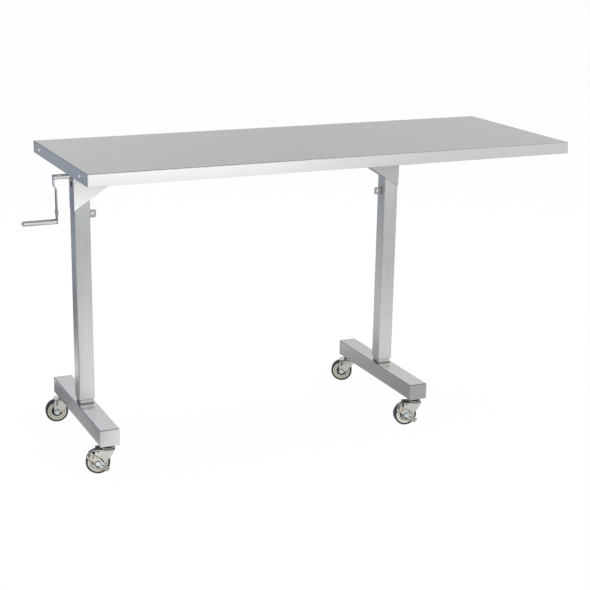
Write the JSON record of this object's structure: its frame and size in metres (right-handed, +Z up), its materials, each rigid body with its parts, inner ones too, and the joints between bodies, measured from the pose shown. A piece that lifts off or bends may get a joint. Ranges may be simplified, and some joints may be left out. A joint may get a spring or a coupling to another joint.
{
  "type": "instrument table",
  "caption": "Long instrument table with a turned-down metal top on telescoping columns, raised by an end crank, on locking swivel casters.",
  "frame": {"origin": "on the floor, under the middle of the whole footprint with the crank included", "axes": "+X along the top away from the crank, +Y to the back, +Z up"},
  "size_m": [1.8, 0.6096, 0.96],
  "materials": {
    "satin_steel": "satin stainless sheet and tube",
    "polished_steel": "polished stainless",
    "plain_steel": "plain machined or pressed steel",
    "plated_steel": "bright plated stamping",
    "zinc_steel": "bluish zinc plate",
    "bronze": "oiled bearing bronze",
    "nylon": "natural nylon",
    "wheel_core": "moulded beige core",
    "tread": "dark slate non-marking tread"
  },
  "bodies": {
    "left_leg": {"left_foot": "satin_steel", "left_foot_caps": "satin_steel", "left_post": "polished_steel", "left_lift_nut": "bronze", "left_post_glides": "nylon", "left_stems": "plated_steel"},
    "table_top": {"top_sheet": "satin_steel", "long_channels": "plain_steel", "cross_bearers": "plain_steel", "head_plates": "satin_steel", "head_bolts": "zinc_steel", "end_screws": "polished_steel", "left_sleeve": "satin_steel", "right_sleeve": "satin_steel", "left_gusset": "satin_steel", "right_gusset": "satin_steel", "column_lugs": "satin_steel", "bearing_blocks": "plain_steel", "thrust_bearings": "polished_steel", "shaft_bushes": "bronze", "sleeve_liners": "nylon"},
    "right_leg": {"right_foot": "satin_steel", "right_foot_caps": "satin_steel", "right_post": "polished_steel", "right_lift_nut": "bronze", "right_post_glides": "nylon", "right_stems": "plated_steel"},
    "drive": {"crank_shaft": "polished_steel", "shaft_coupling": "plain_steel", "cross_shaft": "plain_steel", "left_drive_gear": "plain_steel", "right_drive_gear": "plain_steel", "crank_arm": "polished_steel", "arm_collar": "polished_steel", "grip_pin": "polished_steel"},
    "grip": {"crank_grip": "polished_steel"},
    "left_screw": {"left_lead_screw": "plain_steel", "left_screw_gear": "bronze"},
    "right_screw": {"right_lead_screw": "plain_steel", "right_screw_gear": "bronze"},
    "front_left_caster": {"front_left_fork": "plated_steel", "front_left_axle": "zinc_steel"},
    "front_left_roller": {"front_left_wheel": "wheel_core", "front_left_tyre": "tread"},
    "front_left_lever": {"front_left_brake": "plated_steel"},
    "rear_left_caster": {"rear_left_fork": "plated_steel", "rear_left_axle": "zinc_steel"},
    "rear_left_roller": {"rear_left_wheel": "wheel_core", "rear_left_tyre": "tread"},
    "front_right_caster": {"front_right_fork": "plated_steel", "front_right_axle": "zinc_steel"},
    "front_right_roller": {"front_right_wheel": "wheel_core", "front_right_tyre": "tread"},
    "front_right_lever": {"front_right_brake": "plated_steel"},
    "rear_right_caster": {"rear_right_fork": "plated_steel", "rear_right_axle": "zinc_steel"},
    "rear_right_roller": {"rear_right_wheel": "wheel_core", "rear_right_tyre": "tread"}
  },
  "joints": [
    {"name": "crank_turn", "type": "hinge", "parent": "table_top", "child": "drive", "pos_m": [-0.77875, 0, 0.8965], "axis": [1, 0, 0], "range_deg": [0, 16452]},
    {"name": "lift", "type": "slide", "parent": "left_leg", "child": "table_top", "axis": [0, 0, 1], "range_m": [0, 0.457]},
    {"name": "right_leg_slide", "type": "slide", "parent": "table_top", "child": "right_leg", "axis": [0, 0, -1], "range_m": [0, 0.457]},
    {"name": "left_screw_turn", "type": "hinge", "parent": "table_top", "child": "left_screw", "pos_m": [-0.71525, 0, 0.8], "axis": [0, 0, 1], "range_deg": [0, 16452]},
    {"name": "right_screw_turn", "type": "hinge", "parent": "table_top", "child": "right_screw", "pos_m": [0.37695, 0, 0.8], "axis": [0, 0, 1], "range_deg": [0, 16452]},
    {"name": "grip_spin", "type": "hinge", "parent": "drive", "child": "grip", "pos_m": [-0.83875, 0, 0.7565], "axis": [1, 0, 0], "continuous": true},
    {"name": "front_left_swivel", "type": "hinge", "parent": "left_leg", "child": "front_left_caster", "pos_m": [-0.71525, -0.2397, 0.09], "axis": [0, 0, 1], "continuous": true},
    {"name": "front_left_roll", "type": "hinge", "parent": "front_left_caster", "child": "front_left_roller", "pos_m": [-0.74489, -0.23064, 0.0381], "axis": [-0.2924, -0.9563, 0], "continuous": true},
    {"name": "front_left_brake_release", "type": "hinge", "parent": "front_left_caster", "child": "front_left_lever", "pos_m": [-0.76498, -0.2245, 0.0571], "axis": [-0.2924, -0.9563, 0], "range_deg": [0, 6]},
    {"name": "rear_left_swivel", "type": "hinge", "parent": "left_leg", "child": "rear_left_caster", "pos_m": [-0.71525, 0.2397, 0.09], "axis": [0, 0, 1], "continuous": true},
    {"name": "rear_left_roll", "type": "hinge", "parent": "rear_left_caster", "child": "rear_left_roller", "pos_m": [-0.74568, 0.24561, 0.0381], "axis": [-0.1908, -0.9816, 0], "continuous": true},
    {"name": "front_right_swivel", "type": "hinge", "parent": "right_leg", "child": "front_right_caster", "pos_m": [0.37695, -0.2397, 0.09], "axis": [0, 0, 1], "continuous": true},
    {"name": "front_right_roll", "type": "hinge", "parent": "front_right_caster", "child": "front_right_roller", "pos_m": [0.34675, -0.23273, 0.0381], "axis": [-0.225, -0.9744, 0], "continuous": true},
    {"name": "front_right_brake_release", "type": "hinge", "parent": "front_right_caster", "child": "front_right_lever", "pos_m": [0.32628, -0.228, 0.0571], "axis": [-0.225, -0.9744, 0], "range_deg": [0, 6]},
    {"name": "rear_right_swivel", "type": "hinge", "parent": "right_leg", "child": "rear_right_caster", "pos_m": [0.37695, 0.2397, 0.09], "axis": [0, 0, 1], "continuous": true},
    {"name": "rear_right_roll", "type": "hinge", "parent": "rear_right_caster", "child": "rear_right_roller", "pos_m": [0.34958, 0.25425, 0.0381], "axis": [-0.4695, -0.8829, 0], "continuous": true}
  ],
  "couplings": [
    {"joint": "crank_turn", "follows": "lift", "rad_per_m": 628.32},
    {"joint": "left_screw_turn", "follows": "lift", "rad_per_m": 628.32},
    {"joint": "right_screw_turn", "follows": "lift", "rad_per_m": 628.32},
    {"joint": "right_leg_slide", "follows": "lift", "ratio": 1}
  ]
}
